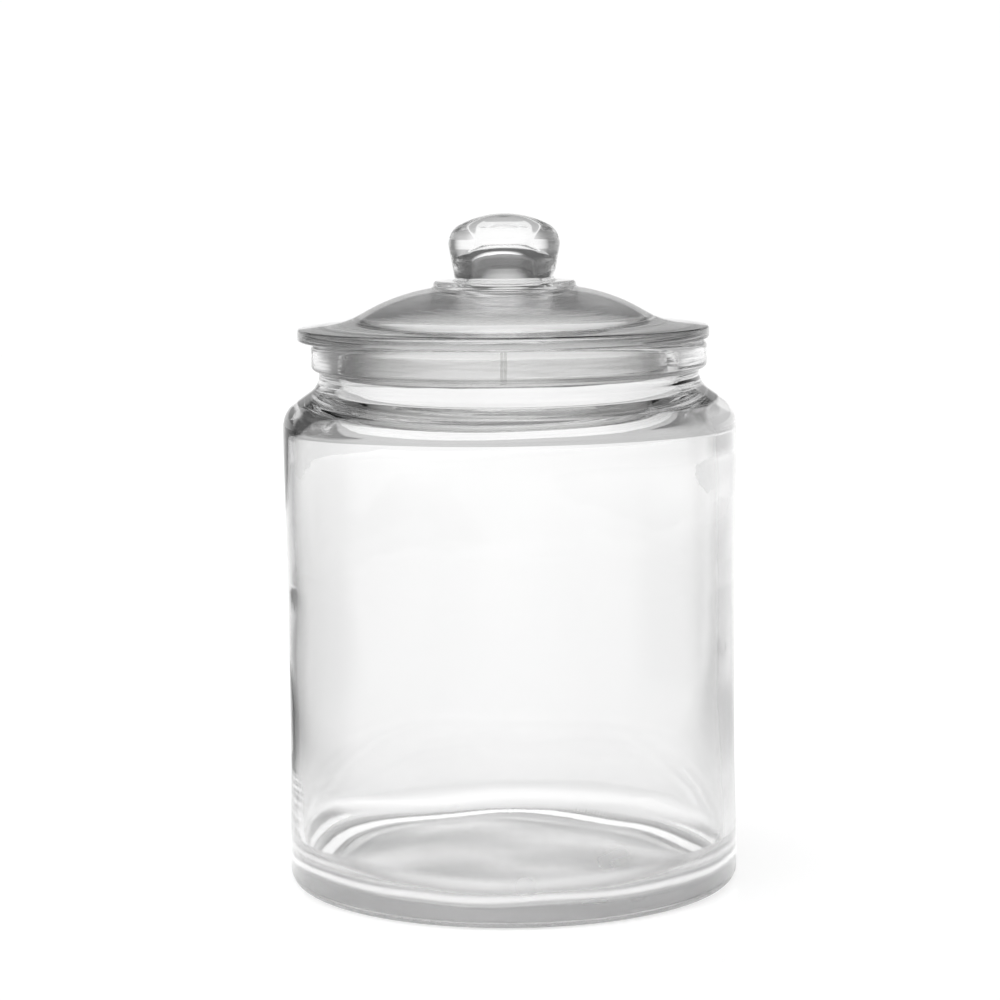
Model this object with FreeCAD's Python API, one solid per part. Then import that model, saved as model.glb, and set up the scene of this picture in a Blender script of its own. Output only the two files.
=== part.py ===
import FreeCAD, Part
import math
import os

# A pressed-glass storage jar of about four litres with a domed, knobbed glass
# lid. The lid lies on the jar's lip; a collar under it hangs into the neck and
# carries a soft strip seal. All three pieces are turned about upright axes.
# Millimetres, +Z up, origin at the middle of the base on the standing plane.

# --- jar body -----------------------------------------------------------------
body_r = 87.5            # outside radius at the heel and at the shoulder
panel_recess = 0.8       # how far the middle of the side lies inside those two
heel_contact_h = 12.0    # height of the full-width band above the base
panel_start_h = 46.0     # height where the recessed panel starts
shoulder_contact_w = 15.9  # full-width band under the shoulder
panel_end_w = 65.9       # the recessed panel ends this far under the shoulder
side_blend = 120.0       # radius that eases the side in and out of the panel
heel_radius = 5.2        # rounded outer corner of the base
shoulder_pitch = 35.0    # slope of the shoulder above the horizontal, degrees
shoulder_round = 11.0    # outer rounding from the side into the shoulder

# --- jar neck and lip ---------------------------------------------------------
neck_bore_r = 66.2       # clear radius through the neck
neck_wall = 7.1          # glass of the neck's waist
neck_round = 10.0        # hollow rounding from the shoulder into the waist
neck_drop = 17.2         # the shoulder's slope runs into the waist this far under the lip
lip_h = 211.0            # height of the lip that the lid lies on
lip_band_proud = 3.0     # the thick band round the lip stands out this far
lip_band_h = 11.4        # height of that band
lip_band_top_round = 3.4
lip_band_low_round = 2.6
lip_band_root_round = 1.4
lip_inner_round = 1.6

# --- jar glass thickness ------------------------------------------------------
side_wall = 3.8          # glass of the side
shoulder_wall = 5.6      # glass gathers under the shoulder
gather_h = 64.0          # length over which it thickens, below the shoulder
base_wall = 5.6          # glass over the standing ring
floor_round = 16.0       # inner corner between floor and side
under_shoulder_pitch = 27.5  # the inside slopes less, so the neck's foot is thicker
inner_shoulder_round = 9.0
inner_neck_round = 8.0

# --- jar base -----------------------------------------------------------------
standing_ring_w = 7.5    # width of the flat ring that the jar stands on
ring_round = 4.0         # inner edge of that ring
punt_depth = 3.4         # how far the underside rises inside the ring
punt_r = 38.0            # the rise eases into a flat middle about here
punt_round = 400.0
floor_rise = 2.8         # how far the floor's middle stands above its edge
floor_rise_r = 33.0      # radius of the floor's raised middle
floor_slope_w = 24.0     # width of the slope that leads up to it
floor_slope_round = 200.0

# --- lid ----------------------------------------------------------------------
flange_overhang = 3.0    # the flange reaches this far past the lip band
flange_t = 4.6           # height of the flange's edge
flange_round = 1.1       # rounding of the flange's two edges
skirt_rise = 2.2         # the skirt climbs this much from the edge to the dome
dome_foot_out = 0.05     # the dome's foot stands this far outside the collar
dome_foot_round = 27.0
dome_steep_w = 19.8      # width of the dome's steep part, foot to knee
dome_knee_rise = 10.9    # height of the knee above the foot
dome_knee_round = 80.0
dome_rim_rise = 2.2      # climb from the knee to the ledge round the knob
dome_wall = 5.0          # glass of the dome
under_round = 9.0        # rounding where the dome's underside meets the collar

# --- knob ---------------------------------------------------------------------
ledge_r = 27.4           # flat ledge that the knob stands on
ledge_t = 2.5
ledge_round = 1.2        # upper edge of the ledge
ledge_foot_round = 1.5   # corner between the ledge and the dome
knob_foot_r = 19.0       # knob where it leaves the ledge
knob_foot_round = 1.3
knob_h = 25.6            # from the ledge to the crown
knob_edge_r = 22.4       # where crown and side lines would meet unrounded
knob_edge_drop = 6.9     # that corner below the crown
knob_edge_round = 8.2
knob_crown_r = 8.8       # the crown's line turns down at this radius
knob_crown_round = 36.0

# --- hollow pressed up into the knob from below ---------------------------------
knob_wall = 4.8          # glass between the hollow's mouth and the knob's foot
knob_top_glass = 11.6    # glass left between the hollow and the crown
hollow_mouth_round = 8.0  # easing where the hollow opens under the dome
hollow_draft = 1.7       # the hollow narrows by this much up to its edge
hollow_edge_drop = 4.5   # that edge below the hollow's top
hollow_edge_round = 7.0
hollow_top_in = 7.6      # the top turns down this far inside the mouth's radius
hollow_top_round = 22.0

# --- lid collar and seal ------------------------------------------------------
seal_play = 2.9          # seal to neck bore all round, with the lid central
seal_clearance = 0.05    # strip on the collar
seal_t = 1.8             # thickness of the strip
seal_w = 13.1            # width of the strip, hung from the flange
seal_hem_t = 0.5         # the hem along its lower edge stands this proud
seal_hem_w = 2.4
seal_hem_round = 0.45
seal_joint_gap = 1.1     # open butt joint between the strip's two ends
seal_joint_lean = 1.5    # the joint leans by this many degrees
collar_wall = 3.8
collar_past_seal = 2.1   # the collar hangs this much lower than the strip
collar_end_round = 1.7
collar_root_round = 0.8

# --- how the lid lies ---------------------------------------------------------
side_gap = 0.8           # play left on the -X side, where the lid has slid to

# --- radii that follow from the neck's bore -----------------------------------
neck_r = neck_bore_r + neck_wall
lip_band_r = neck_r + lip_band_proud
lid_r = lip_band_r + flange_overhang
seal_r = neck_bore_r - seal_play
collar_r = seal_r - seal_hem_t - seal_t - seal_clearance
dome_foot_r = collar_r + dome_foot_out
dome_knee_r = dome_foot_r - dome_steep_w

AXIS = FreeCAD.Vector(0, 0, 1)
ORIGIN = FreeCAD.Vector(0, 0, 0)


def slope(angle):
    return math.tan(math.radians(angle))


def outline(corners):
    """Closed XZ outline. Each corner is (x, z, rounding radius)."""
    points = [FreeCAD.Vector(x, 0, z) for x, z, _ in corners]
    count = len(points)
    to_next = []
    for i in range(count):
        to_next.append(points[(i + 1) % count] - points[i])
    half_turn = []
    reach = []
    for i in range(count):
        turn = to_next[i - 1].getAngle(to_next[i])
        half_turn.append(turn / 2)
        reach.append(corners[i][2] * math.tan(turn / 2))
    # A rounding is held back where two of them would overrun their side.
    share = [1.0] * count
    for i in range(count):
        j = (i + 1) % count
        wanted = reach[i] + reach[j]
        if wanted > to_next[i].Length:
            fit = 0.999 * to_next[i].Length / wanted
            share[i] = min(share[i], fit)
            share[j] = min(share[j], fit)
    edges = []
    starts = []
    ends = []
    for i in range(count):
        back = FreeCAD.Vector(to_next[i - 1]).normalize()
        ahead = FreeCAD.Vector(to_next[i]).normalize()
        length = reach[i] * share[i]
        starts.append(points[i] - back * length)
        ends.append(points[i] + ahead * length)
        if length > 0:
            radius = length / math.tan(half_turn[i])
            inward = (ahead - back).normalize()
            middle = points[i] + inward * (radius / math.cos(half_turn[i]) - radius)
            edges.append(Part.Arc(starts[i], middle, ends[i]).toShape())
    for i in range(count):
        j = (i + 1) % count
        if (starts[j] - ends[i]).Length > 1e-4:
            edges.append(Part.LineSegment(ends[i], starts[j]).toShape())
    return Part.Wire(Part.__sortEdges__(edges))


def turned(corners):
    """Solid of revolution about +Z from a closed outline."""
    return Part.Face(outline(corners)).revolve(ORIGIN, AXIS, 360)


def jar_glass():
    pitch = slope(shoulder_pitch)
    half_turn = math.radians(90 - shoulder_pitch) / 2
    shoulder_h = lip_h - neck_drop - (body_r - neck_r) * pitch
    panel_r = body_r - panel_recess
    ring_r = body_r - heel_radius - standing_ring_w
    outside = [
        (0, punt_depth, 0),
        (punt_r, punt_depth, punt_round),
        (ring_r, 0, ring_round),
        (body_r, 0, heel_radius),
        (body_r, heel_contact_h, side_blend),
        (panel_r, panel_start_h, side_blend),
        (panel_r, shoulder_h - panel_end_w, side_blend),
        (body_r, shoulder_h - shoulder_contact_w, side_blend),
        (body_r, shoulder_h, shoulder_round),
        (neck_r, lip_h - neck_drop, neck_round),
        (neck_r, lip_h - lip_band_h, lip_band_root_round),
        (lip_band_r, lip_h - lip_band_h, lip_band_low_round),
        (lip_band_r, lip_h, lip_band_top_round),
    ]
    side_r = panel_r - side_wall
    under_shoulder_r = body_r - shoulder_wall
    under_shoulder_h = shoulder_h - shoulder_wall * math.tan(half_turn)
    under_pitch = slope(under_shoulder_pitch)
    under_neck_h = under_shoulder_h + (under_shoulder_r - neck_bore_r) * under_pitch
    inside = [
        (neck_bore_r, lip_h, lip_inner_round),
        (neck_bore_r, under_neck_h, inner_neck_round),
        (under_shoulder_r, under_shoulder_h, inner_shoulder_round),
        (side_r, under_shoulder_h - gather_h, side_blend),
        (side_r, base_wall, floor_round),
        (floor_rise_r + floor_slope_w, base_wall, floor_slope_round),
        (floor_rise_r, base_wall + floor_rise, floor_slope_round),
        (0, base_wall + floor_rise, 0),
    ]
    return turned(outside + inside)


def lid_glass():
    skirt_h = lip_h + flange_t + skirt_rise
    knee_h = skirt_h + dome_knee_rise
    ledge_low_h = knee_h + dome_rim_rise
    ledge_top_h = ledge_low_h + ledge_t
    crown_h = ledge_top_h + knob_h
    outside = [
        (0, crown_h, 0),
        (knob_crown_r, crown_h, knob_crown_round),
        (knob_edge_r, crown_h - knob_edge_drop, knob_edge_round),
        (knob_foot_r, ledge_top_h, knob_foot_round),
        (ledge_r, ledge_top_h, ledge_round),
        (ledge_r, ledge_low_h, ledge_foot_round),
        (dome_knee_r, knee_h, dome_knee_round),
        (dome_foot_r, skirt_h, dome_foot_round),
        (lid_r, lip_h + flange_t, flange_round),
        (lid_r, lip_h, flange_round),
    ]
    collar_h = lip_h - seal_w - collar_past_seal
    collar_bore_r = collar_r - collar_wall
    # The underside follows the dome at the glass thickness, measured upright.
    steep = dome_knee_rise / (dome_foot_r - dome_knee_r)
    shallow = dome_rim_rise / (dome_knee_r - ledge_r)
    upright = dome_wall * math.sqrt(1 + steep * steep)
    hollow_h = crown_h - knob_top_glass
    hollow_r = knob_foot_r - knob_wall
    inside = [
        (collar_r, lip_h, collar_root_round),
        (collar_r, collar_h, collar_end_round),
        (collar_bore_r, collar_h, collar_end_round),
        (collar_bore_r, skirt_h - upright + (dome_foot_r - collar_bore_r) * steep, under_round),
        (dome_knee_r, knee_h - upright, dome_knee_round),
        (hollow_r, knee_h - upright + (dome_knee_r - hollow_r) * shallow, hollow_mouth_round),
        (hollow_r - hollow_draft, hollow_h - hollow_edge_drop, hollow_edge_round),
        (hollow_r - hollow_top_in, hollow_h, hollow_top_round),
        (0, hollow_h, 0),
    ]
    return turned(outside + inside)


def seal_strip():
    bore_r = collar_r + seal_clearance
    outer_r = bore_r + seal_t
    low_h = lip_h - seal_w
    section = [
        (bore_r, lip_h - collar_root_round, 0),
        (bore_r, low_h, 0),
        (outer_r + seal_hem_t, low_h, seal_hem_round),
        (outer_r + seal_hem_t, low_h + seal_hem_w, seal_hem_round),
        (outer_r, low_h + seal_hem_w + seal_hem_t, 0),
        (outer_r, lip_h, 0),
        (bore_r + collar_root_round, lip_h, 0),
    ]
    ring = turned(section)
    # The joint faces the front. Its cutter runs past the strip on every side.
    past = seal_t + seal_hem_t
    corner = FreeCAD.Vector(-seal_joint_gap / 2, -seal_r - past, low_h - past)
    joint = Part.makeBox(seal_joint_gap, 3 * past, seal_w + 2 * past, corner)
    middle = FreeCAD.Vector(0, -seal_r, lip_h - seal_w / 2)
    joint.rotate(middle, FreeCAD.Vector(0, 1, 0), seal_joint_lean)
    return ring.cut(joint)


def seated(shape):
    """The lid and what it carries, where they lie on the lip."""
    moved = shape.copy()
    moved.translate(FreeCAD.Vector(side_gap - seal_play, 0, 0))
    return moved


nodes = {
    "jar": jar_glass(),
    "lid": seated(lid_glass()),
    "seal": seated(seal_strip()),
}

os.makedirs("parts", exist_ok=True)
for name, shape in nodes.items():
    shape.exportStep("parts/" + name + ".step")
    box = shape.BoundBox
    print(name, "valid", shape.isValid(), "solids", len(shape.Solids),
          "volume cm3", round(shape.Volume / 1000, 1),
          "z", round(box.ZMin, 2), round(box.ZMax, 2))
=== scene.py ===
import math
import bpy
from mathutils import Matrix, Vector, noise


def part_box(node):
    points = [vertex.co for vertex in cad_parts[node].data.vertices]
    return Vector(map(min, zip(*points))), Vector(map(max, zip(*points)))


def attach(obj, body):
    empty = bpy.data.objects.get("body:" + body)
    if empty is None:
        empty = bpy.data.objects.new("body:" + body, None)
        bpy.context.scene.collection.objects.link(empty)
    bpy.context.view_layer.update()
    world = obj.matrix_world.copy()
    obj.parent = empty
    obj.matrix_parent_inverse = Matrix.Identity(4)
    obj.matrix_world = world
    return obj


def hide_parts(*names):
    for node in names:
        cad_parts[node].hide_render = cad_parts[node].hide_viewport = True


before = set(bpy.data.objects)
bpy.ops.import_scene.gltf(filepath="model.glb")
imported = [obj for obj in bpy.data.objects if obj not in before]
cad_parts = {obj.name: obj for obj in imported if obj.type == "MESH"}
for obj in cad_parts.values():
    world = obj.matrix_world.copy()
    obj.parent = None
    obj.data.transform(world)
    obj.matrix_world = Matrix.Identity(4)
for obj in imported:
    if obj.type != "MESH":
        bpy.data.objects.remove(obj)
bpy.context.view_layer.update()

print("frame loaded")

mm = 0.001  # lengths below are in millimetres, objects in metres
tiny = 0.0001  # mm, shorter than any real length here
nearly = 0.001  # mm, heights closer than this are the same height
margin = 0.1  # mm, allowed when faces are told apart by where they lie


def boxInMm(node):
    low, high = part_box(node)
    return low / mm, high / mm


jarLow, jarHigh = boxInMm("jar")
lidLow, lidHigh = boxInMm("lid")
sealLow, sealHigh = boxInMm("seal")
lidMiddleX = (lidLow.x + lidHigh.x) / 2  # the lid lies a little to one side


def linearColour(hexCode, alpha=1.0):
    channels = [int(hexCode[i:i + 2], 16) / 255 for i in (1, 3, 5)]
    return [c / 12.92 if c <= 0.04045 else ((c + 0.055) / 1.055) ** 2.4 for c in channels] + [alpha]


def addNode(tree, kind, settings=None, links=None):
    # settings and links go by input name or number; a link from a node takes its first output
    node = tree.nodes.new(kind)
    for key, value in (settings or {}).items():
        if isinstance(key, int) or key in node.inputs:
            node.inputs[key].default_value = value
        else:
            setattr(node, key, value)
    for key, source in (links or {}).items():
        if isinstance(source, bpy.types.Node):
            source = source.outputs[0]
        tree.links.new(source, node.inputs[key])
    return node


def slopeOf(degrees):
    return math.tan(math.radians(degrees))


def ramp(value, start, length):
    # 0 at the start, 1 one length further on; a negative length runs the other way
    return min(1.0, max(0.0, (value - start) / length))


def spotOf(r, z):
    # a point of an outline, rounded so that it can be looked up
    return round(r, 4), round(z, 4)


def roundedOutline(corners, arcStep=5.0, longest=3.5):
    # corners are (radius, height, rounding); returns points with every arc and long side divided
    shortOf = 0.999  # two roundings that share a side stop just short of each other
    points = [Vector((r, z)) for r, z, _ in corners]
    last = len(points) - 1
    reach = [0.0] * len(points)
    turn = [0.0] * len(points)
    for i in range(1, last):
        back = points[i] - points[i - 1]
        ahead = points[i + 1] - points[i]
        turn[i] = back.angle(ahead)
        reach[i] = corners[i][2] * math.tan(turn[i] / 2)
    scale = [1.0] * len(points)
    for i in range(last):
        side = (points[i + 1] - points[i]).length
        if reach[i] + reach[i + 1] > side:
            fit = shortOf * side / (reach[i] + reach[i + 1])
            scale[i] = min(scale[i], fit)
            scale[i + 1] = min(scale[i + 1], fit)
    line = [points[0]]
    for i in range(1, last + 1):
        if reach[i] == 0:
            line.append(points[i])
            continue
        length = reach[i] * scale[i]
        back = (points[i] - points[i - 1]).normalized()
        ahead = (points[i + 1] - points[i]).normalized()
        radius = length / math.tan(turn[i] / 2)
        centre = points[i] + (ahead - back).normalized() * radius / math.cos(turn[i] / 2)
        start = points[i] - back * length - centre
        sign = 1 if back.x * ahead.y - back.y * ahead.x > 0 else -1
        steps = max(2, math.ceil(math.degrees(turn[i]) / arcStep), math.ceil(radius * turn[i] / longest))
        for k in range(steps + 1):
            line.append(centre + Matrix.Rotation(sign * turn[i] * k / steps, 2) @ start)
    divided = [line[0]]
    for point in line[1:]:
        gap = (point - divided[-1]).length
        if gap < tiny:
            continue
        pieces = math.ceil(gap / longest)
        first = divided[-1].copy()
        for k in range(1, pieces + 1):
            divided.append(first.lerp(point, k / pieces))
    return divided


def turnedPiece(name, line, segments, centreX=0.0, wander=None, finish=None):
    # a closed turned solid; a line that starts and ends on the axis closes with one point at each pole
    vertices = []
    rings = []
    for r, z in line:
        if r < tiny:
            rings.append([len(vertices)])
            vertices.append((centreX * mm, 0, z * mm))
            continue
        ring = []
        for s in range(segments):
            angle = 2 * math.pi * s / segments
            out, up = wander(r, z, angle) if wander else (0, 0)
            ring.append(len(vertices))
            x = centreX + (r + out) * math.cos(angle)
            vertices.append((x * mm, (r + out) * math.sin(angle) * mm, (z + up) * mm))
        rings.append(ring)
    faces = []
    slots = []
    for k, (low, high) in enumerate(zip(rings, rings[1:])):
        for s in range(segments):
            n = (s + 1) % segments
            slots.append(finish(line[k], line[k + 1]) if finish else 0)
            if len(low) == 1:
                faces.append((low[0], high[n], high[s]))
            elif len(high) == 1:
                faces.append((low[s], low[n], high[0]))
            else:
                faces.append((low[s], low[n], high[n], high[s]))
    mesh = bpy.data.meshes.new(name)
    mesh.from_pydata(vertices, [], faces)
    mesh.polygons.foreach_set("material_index", slots)
    mesh.validate()
    mesh.shade_smooth()
    piece = bpy.data.objects.new(name, mesh)
    bpy.context.scene.collection.objects.link(piece)
    return piece


def ripple(r, z, angle, size, seed):
    # smooth unevenness that closes on itself round the axis; size is its wavelength
    place = Vector((r * math.cos(angle), r * math.sin(angle), z)) / size
    return noise.noise(place + Vector((seed, seed, seed)))


cameraSettings = {
    "distance": 1138.8,  # from the jar's axis, level
    "height": 283.4,  # above the floor
    "aside": -4.0,  # to the left of the axis
    "tiltDown": 6.77,
    "roll": -0.6,  # the jar leans a touch to the left in the frame
    "lens": 106.3,
    "sensor": 36.0,
    "sight": 50.0,  # metres, how far the camera sees
}


def makeCamera():
    s = cameraSettings
    data = bpy.data.cameras.new("camera")
    data.lens = s["lens"]
    data.sensor_width = s["sensor"]
    data.clip_end = s["sight"]
    camera = bpy.data.objects.new("camera", data)
    tilt = Matrix.Rotation(math.radians(90 - s["tiltDown"]), 4, "X")
    roll = Matrix.Rotation(math.radians(s["roll"]), 4, "Z")
    place = Matrix.Translation(Vector((s["aside"], -s["distance"], s["height"])) * mm)
    camera.matrix_world = place @ tilt @ roll
    bpy.context.scene.collection.objects.link(camera)
    bpy.context.scene.camera = camera


makeCamera()
print("camera placed")


glassSettings = {
    "tint": "#fdfdfd",
    "ior": 1.52,  # soda-lime glass
    "waveSize": 26.0,  # slow waves left by the mould
    "waveDepth": 0.05,
    "peelSize": 3.5,  # fine orange peel of fire-polished glass
    "peelDepth": 0.004,
    "flowSize": 3.2,  # flow lines drawn out round the axis
    "flowDepth": 0.035,
    "flowStretch": 0.12,
    # roughness, from the smoothest to the dullest place
    "polished": (0.0, 0.02),
    "plunger": (0.1, 0.16),  # where the plunger pressed
    "baffle": (0.16, 0.26),  # where the mould's bottom plate pressed
    "settled": (0.2, 0.3),  # inner floor, flange's underside, collar's outside
    "knurlPitch": 1.5,
    "knurlDepth": 0.12,
}


def sodaLimeGlass(name, roughness, waves=1.0, knurled=False, streaks=0.0):
    # clear pressed soda-lime glass: bends what lies behind it, with slow waves in the bending,
    # sharp where the fire polished it and softer where a cold plunger or plate touched it
    s = glassSettings
    material = bpy.data.materials.new(name)
    material.use_nodes = True
    tree = material.node_tree
    tree.nodes.clear()
    place = addNode(tree, "ShaderNodeTexCoord").outputs["Object"]
    axes = addNode(tree, "ShaderNodeSeparateXYZ", None, {0: place})
    slow = addNode(tree, "ShaderNodeTexNoise", {"Scale": 1 / (s["waveSize"] * mm), "Detail": 1.0},
                   {"Vector": place})
    fine = addNode(tree, "ShaderNodeTexNoise", {"Scale": 1 / (s["peelSize"] * mm), "Detail": 2.0},
                   {"Vector": place})
    swell = addNode(tree, "ShaderNodeBump", {"Strength": 1.0, "Distance": s["waveDepth"] * waves * mm},
                    {"Height": slow})
    surface = addNode(tree, "ShaderNodeBump", {"Strength": 1.0, "Distance": s["peelDepth"] * mm},
                      {"Height": fine, "Normal": swell})
    if streaks:
        # flow lines that the press drew out round the axis
        level = addNode(tree, "ShaderNodeVectorMath", {"operation": "MULTIPLY", 1: (1, 1, 0)}, {0: place})
        out = addNode(tree, "ShaderNodeVectorMath", {"operation": "LENGTH"}, {0: level})
        across = addNode(tree, "ShaderNodeMath", {"operation": "MULTIPLY", 1: s["flowStretch"]},
                         {0: axes.outputs["X"]})
        drawn = addNode(tree, "ShaderNodeCombineXYZ", None,
                        {"X": out.outputs["Value"], "Y": across, "Z": axes.outputs["Z"]})
        flow = addNode(tree, "ShaderNodeTexNoise", {"Scale": 1 / (s["flowSize"] * mm), "Detail": 2.0},
                       {"Vector": drawn})
        surface = addNode(tree, "ShaderNodeBump",
                          {"Strength": 1.0, "Distance": s["flowDepth"] * streaks * mm},
                          {"Height": flow, "Normal": surface})
    if knurled:
        # fine teeth round the ring that the jar stands on
        angle = addNode(tree, "ShaderNodeMath", {"operation": "ARCTAN2"},
                        {0: axes.outputs["Y"], 1: axes.outputs["X"]})
        teeth = round(2 * math.pi * jarHigh.x / s["knurlPitch"])
        turned = addNode(tree, "ShaderNodeMath", {"operation": "MULTIPLY", 1: teeth}, {0: angle})
        ridge = addNode(tree, "ShaderNodeMath", {"operation": "SINE"}, {0: turned})
        surface = addNode(tree, "ShaderNodeBump", {"Strength": 1.0, "Distance": s["knurlDepth"] * mm},
                          {"Height": ridge, "Normal": surface})
    low, high = roughness
    polish = addNode(tree, "ShaderNodeMapRange", {"To Min": low, "To Max": high}, {"Value": slow})
    glass = addNode(tree, "ShaderNodeBsdfPrincipled",
                    {"Base Color": linearColour(s["tint"]), "IOR": s["ior"], "Transmission Weight": 1.0},
                    {"Roughness": polish, "Normal": surface})
    addNode(tree, "ShaderNodeOutputMaterial", None, {"Surface": glass})
    return material


jarSettings = {
    "panelRecess": 0.8,  # the middle of the side lies this far inside the two full-width bands
    "heelBand": 12.0,
    "panelStart": 46.0,
    "panelEnd": 65.9,  # under the shoulder, as is the next
    "shoulderBand": 15.9,
    "sideBlend": 120.0,
    "heelRound": 5.2,
    "shoulderPitch": 35.0,
    "shoulderRound": 11.0,
    "neckRadius": 73.3,
    "neckDrop": 17.2,
    "neckRound": 10.0,
    "neckBore": 66.2,
    "lipBandRadius": 76.3,
    "lipBandHeight": 11.4,
    "lipRounds": (1.4, 2.6, 3.4, 1.6),  # root, low edge, top edge, bore edge
    "sideWall": 3.8,
    "shoulderWall": 5.6,
    "gather": 64.0,  # the glass thickens over this length below the shoulder
    "underShoulderPitch": 27.5,
    "underShoulderRound": 9.0,
    "underNeckRound": 8.0,
    "ringWidth": 7.5,
    "ringRound": 4.0,
    "puntDepth": 3.4,
    "puntRadius": 38.0,
    "puntRound": 400.0,
    "baseWall": 5.6,
    "floorRound": 16.0,
    "floorRise": 2.8,
    "floorRiseRadius": 33.0,
    "floorSlope": 24.0,
    "floorSlopeRound": 200.0,
    "thickSide": 1.1,  # the right side is this much thicker than the mean, the left thinner
    "wavy": (0.5, 45.0, 3.1),  # slow unevenness of the inside: depth, wavelength, seed
    "wavyHeights": (12.0, 200.0),  # the two above fade out towards these
    "wavyFade": 30.0,
    "floorWavy": (1.8, 42.0, 7.7),  # the same for the inner floor, up and down
    "floorWavyTop": 18.0,
    "floorWavyFade": 8.0,
    "floorCalm": 20.0,  # the floor's waves die out towards its middle from this radius
    "neckFrom": 20.0,  # the mould's neck ring streaks the glass this far below the lip
    "floorSoftTo": 22.0,  # the inner floor and its corner are duller up to here
    "segments": 288,
}


def makeJar():
    s = jarSettings
    bodyR = jarHigh.x
    lipH = jarHigh.z
    floorZ = jarLow.z
    panelR = bodyR - s["panelRecess"]
    pitch = slopeOf(s["shoulderPitch"])
    halfTurn = math.radians(90 - s["shoulderPitch"]) / 2
    waistH = lipH - s["neckDrop"]
    shoulderH = waistH - (bodyR - s["neckRadius"]) * pitch
    ringR = bodyR - s["heelRound"] - s["ringWidth"]
    root, lowEdge, topEdge, boreEdge = s["lipRounds"]
    outside = [
        (0, floorZ + s["puntDepth"], 0),
        (s["puntRadius"], floorZ + s["puntDepth"], s["puntRound"]),
        (ringR, floorZ, s["ringRound"]),
        (bodyR, floorZ, s["heelRound"]),
        (bodyR, floorZ + s["heelBand"], s["sideBlend"]),
        (panelR, floorZ + s["panelStart"], s["sideBlend"]),
        (panelR, shoulderH - s["panelEnd"], s["sideBlend"]),
        (bodyR, shoulderH - s["shoulderBand"], s["sideBlend"]),
        (bodyR, shoulderH, s["shoulderRound"]),
        (s["neckRadius"], waistH, s["neckRound"]),
        (s["neckRadius"], lipH - s["lipBandHeight"], root),
        (s["lipBandRadius"], lipH - s["lipBandHeight"], lowEdge),
        (s["lipBandRadius"], lipH, topEdge),
    ]
    sideR = panelR - s["sideWall"]
    underR = bodyR - s["shoulderWall"]
    underH = shoulderH - s["shoulderWall"] * math.tan(halfTurn)
    underNeckH = underH + (underR - s["neckBore"]) * slopeOf(s["underShoulderPitch"])
    floorTop = floorZ + s["baseWall"]
    inside = [
        (s["neckBore"], lipH, boreEdge),
        (s["neckBore"], underNeckH, s["underNeckRound"]),
        (underR, underH, s["underShoulderRound"]),
        (sideR, underH - s["gather"], s["sideBlend"]),
        (sideR, floorTop, s["floorRound"]),
        (s["floorRiseRadius"] + s["floorSlope"], floorTop, s["floorSlopeRound"]),
        (s["floorRiseRadius"], floorTop + s["floorRise"], s["floorSlopeRound"]),
        (0, floorTop + s["floorRise"], 0),
    ]
    line = roundedOutline(outside + inside)
    innerFrom = next(i for i, p in enumerate(line) if p.y >= lipH - nearly)
    innerSpots = {spotOf(*p) for p in line[innerFrom:]}
    fadeLow, fadeHigh = s["wavyHeights"]
    sideDepth, sideLength, sideSeed = s["wavy"]
    floorDepth, floorLength, floorSeed = s["floorWavy"]

    def wander(r, z, angle):
        # only the inside is uneven: the mould shapes the outside, air the inside
        if spotOf(r, z) not in innerSpots:
            return 0.0, 0.0
        onFloor = ramp(z, s["floorWavyTop"], -s["floorWavyFade"]) * ramp(r, 0, s["floorCalm"])
        up = floorDepth * ripple(r, z, angle, floorLength, floorSeed) * onFloor
        low = ramp(z, fadeLow, s["wavyFade"])
        high = ramp(z, fadeHigh, -s["wavyFade"])
        out = -s["thickSide"] * math.cos(angle) * low * high
        out += sideDepth * ripple(r, z, angle, sideLength, sideSeed) * low * high
        return out, up

    def finish(first, second):
        # the number of the material in the list below
        if min(first.y, second.y) > lipH - s["neckFrom"]:
            return 4
        if any(spotOf(*p) in innerSpots for p in (first, second)):
            return 3 if max(first.y, second.y) < s["floorSoftTo"] else 0
        underside = max(first.y, second.y) < floorZ + s["puntDepth"] + margin
        onRing = min(first.x, second.x) > ringR - s["ringRound"]
        return (2 if onRing else 1) if underside else 0

    jar = turnedPiece("jarGlass", line, s["segments"], 0.0, wander, finish)
    g = glassSettings
    finishes = [
        sodaLimeGlass("sodaLimeGlassFirePolished", g["polished"]),  # the sides: clear and bright
        sodaLimeGlass("sodaLimeGlassPlatePressed", g["baffle"]),  # under the base: a soft blur
        sodaLimeGlass("sodaLimeGlassKnurled", g["baffle"], knurled=True),  # the ring: fine grey teeth
        sodaLimeGlass("sodaLimeGlassSettled", g["settled"]),  # the inner floor: soft-edged lines
        sodaLimeGlass("sodaLimeGlassNeckRing", g["polished"], 4.0, streaks=3.0),  # the neck: streaky
    ]
    for glass in finishes:
        jar.data.materials.append(glass)
    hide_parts("jar")
    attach(jar, "root")
    return jar


jar = makeJar()
print("jar made")


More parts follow.
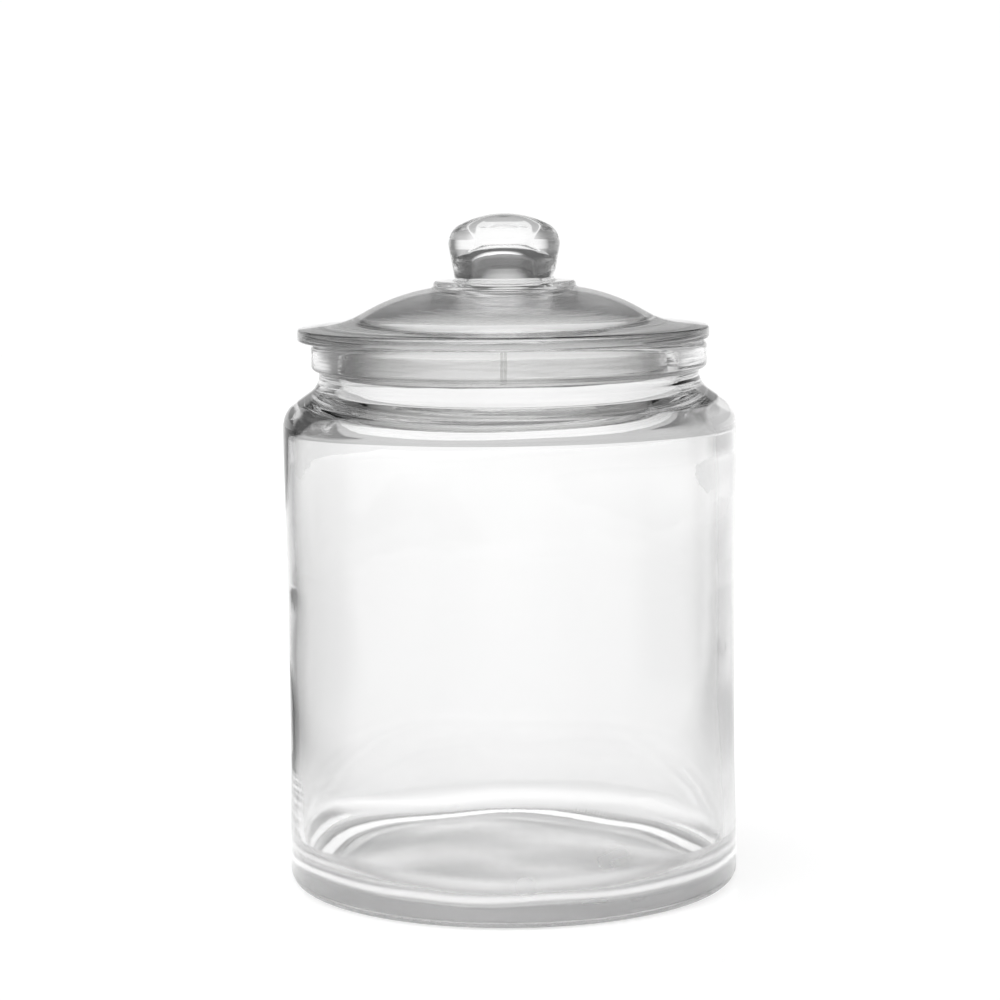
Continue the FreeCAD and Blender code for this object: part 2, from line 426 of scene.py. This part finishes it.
lidSettings = {
    "flangeThick": 4.6,
    "flangeRound": 1.1,
    "skirtRise": 2.2,
    "domeFootRadius": 61.0,
    "domeFootRound": 27.0,
    "domeKneeRadius": 41.2,
    "domeKneeRise": 10.9,
    "domeKneeRound": 80.0,
    "domeRimRise": 2.2,
    "domeWall": 5.0,
    "underRound": 9.0,  # where the dome's underside meets the collar
    "ledgeRadius": 27.4,
    "ledgeThick": 2.5,
    "ledgeRounds": (1.2, 1.5),  # upper edge, and the corner with the dome
    "knobFootRadius": 19.0,
    "knobFootRound": 1.3,
    "knobEdgeRadius": 22.4,
    "knobEdgeDrop": 6.9,
    "knobEdgeRound": 8.2,
    "crownRadius": 8.8,
    "crownRound": 36.0,
    "knobTopGlass": 11.6,  # glass between the hollow and the crown
    "hollowRadius": 14.2,
    "hollowMouthRound": 8.0,
    "hollowDraft": 1.7,
    "hollowEdgeDrop": 4.5,
    "hollowEdgeRound": 7.0,
    "hollowTopIn": 4.6,
    "hollowTopRound": 9.0,
    "hollowClear": 1.0,  # the plunger's dull face stops this far outside the hollow
    "collarRadius": 60.95,
    "collarWall": 3.8,
    "collarRootRound": 0.8,
    "collarEndRound": 1.7,
    "knobAside": 0.7,  # the knob and its ledge were pressed a little to the right
    "arcStep": 5.0,
    "longest": 2.5,
    "segments": 256,
}


def makeLid():
    s = lidSettings
    lipH = jarHigh.z
    lidR = (lidHigh.x - lidLow.x) / 2
    crownH = lidHigh.z
    collarH = lidLow.z
    skirtH = lipH + s["flangeThick"] + s["skirtRise"]
    kneeH = skirtH + s["domeKneeRise"]
    ledgeLowH = kneeH + s["domeRimRise"]
    ledgeTopH = ledgeLowH + s["ledgeThick"]
    steep = s["domeKneeRise"] / (s["domeFootRadius"] - s["domeKneeRadius"])
    shallow = s["domeRimRise"] / (s["domeKneeRadius"] - s["ledgeRadius"])
    upright = s["domeWall"] * math.sqrt(1 + steep * steep)
    hollowR = s["hollowRadius"]
    hollowH = crownH - s["knobTopGlass"]
    mouthH = kneeH - upright + (s["domeKneeRadius"] - hollowR) * shallow
    boreR = s["collarRadius"] - s["collarWall"]
    ledgeEdge, ledgeFoot = s["ledgeRounds"]
    corners = [
        (0, crownH, 0),
        (s["crownRadius"], crownH, s["crownRound"]),
        (s["knobEdgeRadius"], crownH - s["knobEdgeDrop"], s["knobEdgeRound"]),
        (s["knobFootRadius"], ledgeTopH, s["knobFootRound"]),
        (s["ledgeRadius"], ledgeTopH, ledgeEdge),
        (s["ledgeRadius"], ledgeLowH, ledgeFoot),
        (s["domeKneeRadius"], kneeH, s["domeKneeRound"]),
        (s["domeFootRadius"], skirtH, s["domeFootRound"]),
        (lidR, lipH + s["flangeThick"], s["flangeRound"]),
        (lidR, lipH, s["flangeRound"]),
        (s["collarRadius"], lipH, s["collarRootRound"]),
        (s["collarRadius"], collarH, s["collarEndRound"]),
        (boreR, collarH, s["collarEndRound"]),
        (boreR, skirtH - upright + (s["domeFootRadius"] - boreR) * steep, s["underRound"]),
        (s["domeKneeRadius"], kneeH - upright, s["domeKneeRound"]),
        (hollowR, mouthH, s["hollowMouthRound"]),
        (hollowR - s["hollowDraft"], hollowH - s["hollowEdgeDrop"], s["hollowEdgeRound"]),
        (hollowR - s["hollowTopIn"], hollowH, s["hollowTopRound"]),
        (0, hollowH, 0),
    ]
    line = roundedOutline(corners, s["arcStep"], s["longest"])
    line.reverse()
    collarEnd = next(i for i, p in enumerate(line) if p.y <= collarH + nearly)
    underSpots = {spotOf(*p) for p in line[:collarEnd]}

    def finish(first, second):
        # the number of the material in the list below
        outward = min(first.x, second.x) > s["collarRadius"] - margin
        if outward and max(first.y, second.y) < lipH + margin:
            return 2
        plunged = all(spotOf(*p) in underSpots for p in (first, second))
        return 1 if plunged and min(first.x, second.x) > hollowR + s["hollowClear"] else 0

    lid = turnedPiece("lidGlass", line, s["segments"], lidMiddleX, None, finish)
    for vertex in lid.data.vertices:
        vertex.co.x += s["knobAside"] * ramp(vertex.co.z / mm, skirtH, ledgeLowH - skirtH) * mm
    g = glassSettings
    finishes = [
        sodaLimeGlass("sodaLimeGlassPressed", g["polished"], 0.6),  # the top and the knob: clear, sharp
        sodaLimeGlass("sodaLimeGlassPlunged", g["plunger"], 2.5, streaks=2.2),  # under the dome: streaky
        sodaLimeGlass("sodaLimeGlassSeated", g["settled"], 0.5),  # under the flange, outside the collar
    ]
    for glass in finishes:
        lid.data.materials.append(glass)
    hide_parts("lid")
    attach(lid, "root")
    return lid


lid = makeLid()
print("lid made")


sealSettings = {
    "boreRadius": 61.0,
    "thick": 1.8,
    "hemProud": 0.5,
    "hemHeight": 2.4,
    "hemRound": 0.45,
    "hemTopRound": 0.4,
    "edgeRound": 0.3,
    "topBevel": 0.8,  # clears the root of the collar
    "jointGap": 0.15,  # the strip's two ends all but meet
    "jointDark": 0.6,  # the strip is greyer on the faces that start within this of an end
    "jointLean": 1.5,
    "jointFade": 8,  # the higher, the sooner the lean dies away from the joint
    "segments": 360,
    "sharpFrom": 40.0,  # degrees between faces, from where an edge stays crisp
    "cloudSize": 9.0,
    "cloudDepth": 0.05,
    "cloudStrength": 0.6,
    "clearTones": ("#fafaf9", "#fefefe"),
    "cutTones": ("#dededc", "#e4e4e2"),
    "roughness": (0.05, 0.12),
    "ior": 1.51,  # low-density polyethylene
    "clearness": 0.97,
}


def milkyPolyethylene(name, tones):
    # soft low-density polyethylene, extruded thin: a faint cloudy veil that softens what lies behind
    s = sealSettings
    material = bpy.data.materials.new(name)
    material.use_nodes = True
    tree = material.node_tree
    tree.nodes.clear()
    place = addNode(tree, "ShaderNodeTexCoord").outputs["Object"]
    cloud = addNode(tree, "ShaderNodeTexNoise", {"Scale": 1 / (s["cloudSize"] * mm), "Detail": 3.0},
                    {"Vector": place})
    tone = addNode(tree, "ShaderNodeMix", {"data_type": "RGBA"}, {0: cloud})
    for socket, hexCode in zip((6, 7), tones):
        tone.inputs[socket].default_value = linearColour(hexCode)
    low, high = s["roughness"]
    rough = addNode(tree, "ShaderNodeMapRange", {"To Min": low, "To Max": high}, {"Value": cloud})
    drawn = addNode(tree, "ShaderNodeBump",
                    {"Strength": s["cloudStrength"], "Distance": s["cloudDepth"] * mm}, {"Height": cloud})
    plastic = addNode(tree, "ShaderNodeBsdfPrincipled",
                      {"IOR": s["ior"], "Transmission Weight": s["clearness"]},
                      {"Base Color": tone.outputs[2], "Roughness": rough, "Normal": drawn})
    addNode(tree, "ShaderNodeOutputMaterial", None, {"Surface": plastic})
    return material


def makeSeal():
    s = sealSettings
    low = sealLow.z
    high = sealHigh.z
    outerR = s["boreRadius"] + s["thick"]
    corners = [
        (s["boreRadius"], low, s["edgeRound"]),
        (outerR + s["hemProud"], low, s["hemRound"]),
        (outerR + s["hemProud"], low + s["hemHeight"], s["hemRound"]),
        (outerR, low + s["hemHeight"] + s["hemProud"], s["hemTopRound"]),
        (outerR, high, s["edgeRound"]),
        (s["boreRadius"] + s["topBevel"], high, 0),
        (s["boreRadius"], high - s["topBevel"], 0),
        (s["boreRadius"], low, 0),
    ]
    line = roundedOutline(corners, arcStep=15.0, longest=2.0)[:-1]
    middle = (low + high) / 2
    gap = s["jointGap"] / outerR
    vertices = []
    faces = []
    slots = []
    count = len(line)
    rows = s["segments"]
    for k in range(rows + 1):
        share = k / rows
        for r, z in line:
            lean = (z - middle) * slopeOf(s["jointLean"]) / outerR
            fade = abs(2 * share - 1) ** s["jointFade"]
            angle = -math.pi / 2 + gap / 2 + share * (2 * math.pi - gap) + lean * fade
            vertices.append(((lidMiddleX + r * math.cos(angle)) * mm, r * math.sin(angle) * mm, z * mm))
    for k in range(rows):
        nearCut = min(k, rows - 1 - k) * 2 * math.pi * outerR / rows < s["jointDark"]
        for i in range(count):
            j = (i + 1) % count
            faces.append((k * count + i, (k + 1) * count + i, (k + 1) * count + j, k * count + j))
            slots.append(1 if nearCut else 0)
    faces.append(tuple(range(count)))
    faces.append(tuple(rows * count + i for i in reversed(range(count))))
    slots += [1, 1]
    mesh = bpy.data.meshes.new("sealStrip")
    mesh.from_pydata(vertices, [], faces)
    mesh.polygons.foreach_set("material_index", slots)
    mesh.validate()
    seal = bpy.data.objects.new("sealStrip", mesh)
    bpy.context.scene.collection.objects.link(seal)
    bpy.context.view_layer.objects.active = seal
    seal.select_set(True)
    bpy.ops.object.shade_smooth_by_angle(angle=math.radians(s["sharpFrom"]))
    seal.select_set(False)
    seal.data.materials.append(milkyPolyethylene("milkyPolyethylene", s["clearTones"]))
    seal.data.materials.append(milkyPolyethylene("milkyPolyethyleneCut", s["cutTones"]))  # a grey joint
    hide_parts("seal")
    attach(seal, "root")
    return seal


seal = makeSeal()
print("seal made")


studioSettings = {
    "tableSize": 6000,
    "tableColour": "#e6e6e6",
    "tableRoughness": 0.12,
    "tableIor": 1.5,
    # the table's own glow, which is no lamp: how bright it is to the eye, and the painted light it shows
    # through glass and under the jar
    "tableGlow": 0.55,
    "tablePaintedGlowThrough": 0.4,
    "tablePaintedPoolUnder": 0.88,
    # distances on the table from the jar's axis, in metres
    "underTo": 0.155,
    "ringFrom": 0.052,  # a painted soft shadow of the standing ring on the table
    "ringTo": 0.072,
    "ringSoft": 0.02,
    "ringDepth": (-0.07, 0.07),  # from front to back the painted ring shadow grows weaker
    "ringPart": (0.56, 0.4),
    "sideFrom": 0.13,  # painted shade on the table towards the sides starts from here
    "sideTo": 0.4,
    "shadeLeft": 150.0,  # headings, degrees from +X
    "shadeLeftHalf": 34.0,
    "shadeRight": 38.0,
    "shadeRightHalf": 24.0,
    "shadeRightPart": 0.62,
    "shadeDeep": 0.45,  # how far the painted shade darkens the table's own colour
    "room": (0.24, 0.09),  # the unlit part of the room, near the level and higher up
    "roomRise": (0.12, 0.3),
    "backdropHeading": 84.0,
    "backdropHalf": 43.0,
    "backdropBright": (0.055, 0.08),  # the bright foot of the backdrop ends over this rise
    "backdropUpper": 0.58,
    "backdropEnd": (0.24, 0.32),
    "backdropLevel": 1.02,
    "lobeEdges": (1.3, 0.7),  # a shade or backdrop fades over this share of its half width
    "lampAside": -0.25,
    "lampFront": -0.55,
    "lampUp": 0.8,
    "lampEdge": 0.3,
    "lampCore": 0.75,
    "lampLevel": 1.15,
    "glassBounces": 40,
    "glossyBounces": 16,
}


def levelHeading(tree, place):
    # the level part of a place or direction, and its heading split into X and Y
    flat = addNode(tree, "ShaderNodeVectorMath", {"operation": "MULTIPLY", 1: (1, 1, 0)}, {0: place})
    heading = addNode(tree, "ShaderNodeVectorMath", {"operation": "NORMALIZE"}, {0: flat})
    return flat, addNode(tree, "ShaderNodeSeparateXYZ", None, {0: heading})


def towardsHeading(tree, heading, half, split):
    # 1 towards a level heading in degrees, fading to 0 round its half width
    outer, inner = studioSettings["lobeEdges"]
    turned = math.radians(heading)
    across = addNode(tree, "ShaderNodeMath", {"operation": "MULTIPLY", 1: math.cos(turned)},
                     {0: split.outputs["X"]})
    along = addNode(tree, "ShaderNodeMath", {"operation": "MULTIPLY", 1: math.sin(turned)},
                    {0: split.outputs["Y"]})
    cosine = addNode(tree, "ShaderNodeMath", {"operation": "ADD"}, {0: across, 1: along})
    return addNode(tree, "ShaderNodeMapRange",
                   {"interpolation_type": "SMOOTHSTEP",
                    "From Min": math.cos(math.radians(half * outer)),
                    "From Max": math.cos(math.radians(half * inner)), "To Min": 0.0, "To Max": 1.0},
                   {"Value": cosine})


def paleSheetWithPaintedLight():
    # pale acrylic sheet, extruded and satin, glowing with painted light: to the eye an even white ground;
    # through or in the glass a painted glow, brighter under the jar, with painted shade towards the sides
    # and a painted shadow of the jar's ring
    s = studioSettings
    material = bpy.data.materials.new("paleSheetWithPaintedLight")
    material.use_nodes = True
    tree = material.node_tree
    tree.nodes.clear()
    place = addNode(tree, "ShaderNodeNewGeometry").outputs["Position"]
    flat, split = levelHeading(tree, place)
    away = addNode(tree, "ShaderNodeVectorMath", {"operation": "LENGTH"}, {0: flat}).outputs["Value"]
    # painted shade on the table to the left and the right of the jar, farther out
    left = towardsHeading(tree, s["shadeLeft"], s["shadeLeftHalf"], split)
    right = towardsHeading(tree, s["shadeRight"], s["shadeRightHalf"], split)
    far = addNode(tree, "ShaderNodeMapRange",
                  {"interpolation_type": "SMOOTHSTEP", "From Min": s["sideFrom"], "From Max": s["sideTo"],
                   "To Min": 0.0, "To Max": 1.0}, {"Value": away})
    rightPart = addNode(tree, "ShaderNodeMath", {"operation": "MULTIPLY", 1: s["shadeRightPart"]},
                        {0: right})
    shade = addNode(tree, "ShaderNodeMath", {"operation": "MAXIMUM"}, {0: left, 1: rightPart})
    paintedSideShade = addNode(tree, "ShaderNodeMath", {"operation": "MULTIPLY"}, {0: shade, 1: far})
    share = addNode(tree, "ShaderNodeMath", {"operation": "SUBTRACT", 0: 1.0}, {1: paintedSideShade})
    # painted pool of light on the table under and near the jar, seen only through or in the glass
    paintedLightPool = addNode(tree, "ShaderNodeMapRange",
                       {"interpolation_type": "SMOOTHSTEP", "From Min": jarHigh.x * mm,
                        "From Max": s["underTo"], "To Min": s["tablePaintedPoolUnder"], "To Max": s["tablePaintedGlowThrough"]},
                       {"Value": away})
    # painted soft shadow of the jar's standing ring, in a band round its foot
    ringIn = addNode(tree, "ShaderNodeMapRange",
                     {"interpolation_type": "SMOOTHSTEP", "From Min": s["ringFrom"],
                      "From Max": s["ringTo"], "To Min": 0.0, "To Max": 1.0}, {"Value": away})
    ringOut = addNode(tree, "ShaderNodeMapRange",
                      {"interpolation_type": "SMOOTHSTEP", "From Min": jarHigh.x * mm,
                       "From Max": jarHigh.x * mm + s["ringSoft"], "To Min": 1.0, "To Max": 0.0},
                      {"Value": away})
    spot = addNode(tree, "ShaderNodeSeparateXYZ", None, {0: place})
    front, back = s["ringDepth"]
    frontPart, backPart = s["ringPart"]
    ringPart = addNode(tree, "ShaderNodeMapRange",
                       {"interpolation_type": "SMOOTHSTEP", "From Min": front, "From Max": back,
                        "To Min": frontPart, "To Max": backPart}, {"Value": spot.outputs["Y"]})
    ring = addNode(tree, "ShaderNodeMath", {"operation": "MULTIPLY"}, {0: ringIn, 1: ringOut})
    paintedRingShadow = addNode(tree, "ShaderNodeMath", {"operation": "MULTIPLY"}, {0: ring, 1: ringPart})
    lightPastPaintedRingShadow = addNode(tree, "ShaderNodeMath", {"operation": "SUBTRACT", 0: 1.0}, {1: paintedRingShadow})
    under = addNode(tree, "ShaderNodeMath", {"operation": "MULTIPLY"}, {0: paintedLightPool, 1: lightPastPaintedRingShadow})
    # the eye sees a plain white glow; rays through or off the glass see the painted light and shade
    path = addNode(tree, "ShaderNodeLightPath")
    bent = addNode(tree, "ShaderNodeMath", {"operation": "MAXIMUM"},
                   {0: path.outputs["Is Glossy Ray"], 1: path.outputs["Is Transmission Ray"]})
    direct = addNode(tree, "ShaderNodeMath", {"operation": "MULTIPLY", 1: s["tableGlow"]},
                     {0: path.outputs["Is Camera Ray"]})
    bentShare = addNode(tree, "ShaderNodeMath", {"operation": "MULTIPLY"}, {0: bent, 1: share})
    through = addNode(tree, "ShaderNodeMath", {"operation": "MULTIPLY"}, {0: bentShare, 1: under})
    glow = addNode(tree, "ShaderNodeMath", {"operation": "MAXIMUM"}, {0: direct, 1: through})
    # the painted shade also darkens the table's colour, for rays through or off the glass only
    paintedSideShadeBent = addNode(tree, "ShaderNodeMath", {"operation": "MULTIPLY"}, {0: paintedSideShade, 1: bent})
    dim = addNode(tree, "ShaderNodeMath", {"operation": "MULTIPLY", 1: s["shadeDeep"]}, {0: paintedSideShadeBent})
    tone = addNode(tree, "ShaderNodeMix", {"data_type": "RGBA"}, {0: dim})
    tone.inputs[6].default_value = linearColour(s["tableColour"])
    tone.inputs[7].default_value = (0, 0, 0, 1)
    # white emission: the table glows though it is no lamp
    sheet = addNode(tree, "ShaderNodeBsdfPrincipled",
                    {"Roughness": s["tableRoughness"], "IOR": s["tableIor"],
                     "Emission Color": (1, 1, 1, 1)},
                    {"Base Color": tone.outputs[2], "Emission Strength": glow})
    addNode(tree, "ShaderNodeOutputMaterial", None, {"Surface": sheet})
    return material


def makeTable():
    half = studioSettings["tableSize"] / 2 * mm
    mesh = bpy.data.meshes.new("table")
    corners = [(-half, -half, 0), (half, -half, 0), (half, half, 0), (-half, half, 0)]
    mesh.from_pydata(corners, [], [(0, 1, 2, 3)])
    table = bpy.data.objects.new("table", mesh)
    bpy.context.scene.collection.objects.link(table)
    mesh.materials.append(paleSheetWithPaintedLight())


def makeWorld():
    # a white backdrop behind, bright at its foot, in a dim room with a wide soft lamp in front
    s = studioSettings
    world = bpy.data.worlds.new("studio")
    bpy.context.scene.world = world
    world.use_nodes = True
    tree = world.node_tree
    tree.nodes.clear()
    place = addNode(tree, "ShaderNodeTexCoord").outputs["Generated"]
    up = addNode(tree, "ShaderNodeSeparateXYZ", None, {0: place}).outputs["Z"]
    split = levelHeading(tree, place)[1]
    behind = towardsHeading(tree, s["backdropHeading"], s["backdropHalf"], split)
    steps = []
    for edges, ends in ((s["backdropBright"], (1.0, s["backdropUpper"])),
                        (s["backdropEnd"], (1.0, 0.0)), (s["roomRise"], s["room"])):
        steps.append(addNode(tree, "ShaderNodeMapRange",
                             {"interpolation_type": "SMOOTHSTEP", "From Min": edges[0],
                              "From Max": edges[1], "To Min": ends[0], "To Max": ends[1]},
                             {"Value": up}))
    foot, head, room = steps
    rise = addNode(tree, "ShaderNodeMath", {"operation": "MULTIPLY"}, {0: foot, 1: head})
    sheet = addNode(tree, "ShaderNodeMath", {"operation": "MULTIPLY"}, {0: behind, 1: rise})
    backdrop = addNode(tree, "ShaderNodeMath", {"operation": "MULTIPLY", 1: s["backdropLevel"]}, {0: sheet})
    lamp = Vector((s["lampAside"], s["lampFront"], s["lampUp"])).normalized()
    towards = addNode(tree, "ShaderNodeVectorMath", {"operation": "DOT_PRODUCT", 1: tuple(lamp)},
                      {0: place})
    light = addNode(tree, "ShaderNodeMapRange",
                    {"interpolation_type": "SMOOTHSTEP", "From Min": s["lampEdge"],
                     "From Max": s["lampCore"], "To Min": 0.0, "To Max": s["lampLevel"]},
                    {"Value": towards.outputs["Value"]})
    unlit = addNode(tree, "ShaderNodeMath", {"operation": "MAXIMUM"}, {0: backdrop, 1: room})
    shown = addNode(tree, "ShaderNodeMath", {"operation": "MAXIMUM"}, {0: unlit, 1: light})
    path = addNode(tree, "ShaderNodeLightPath")
    seen = addNode(tree, "ShaderNodeMath", {"operation": "MAXIMUM"},
                   {0: shown, 1: path.outputs["Is Camera Ray"]})
    background = addNode(tree, "ShaderNodeBackground", {"Strength": 1.0}, {"Color": seen})
    addNode(tree, "ShaderNodeOutputWorld", None, {"Surface": background})


makeTable()
makeWorld()
scene = bpy.context.scene
scene.view_settings.view_transform = "Standard"
scene.cycles.max_bounces = studioSettings["glassBounces"]
scene.cycles.transmission_bounces = studioSettings["glassBounces"]
scene.cycles.glossy_bounces = studioSettings["glossyBounces"]
print("studio made")
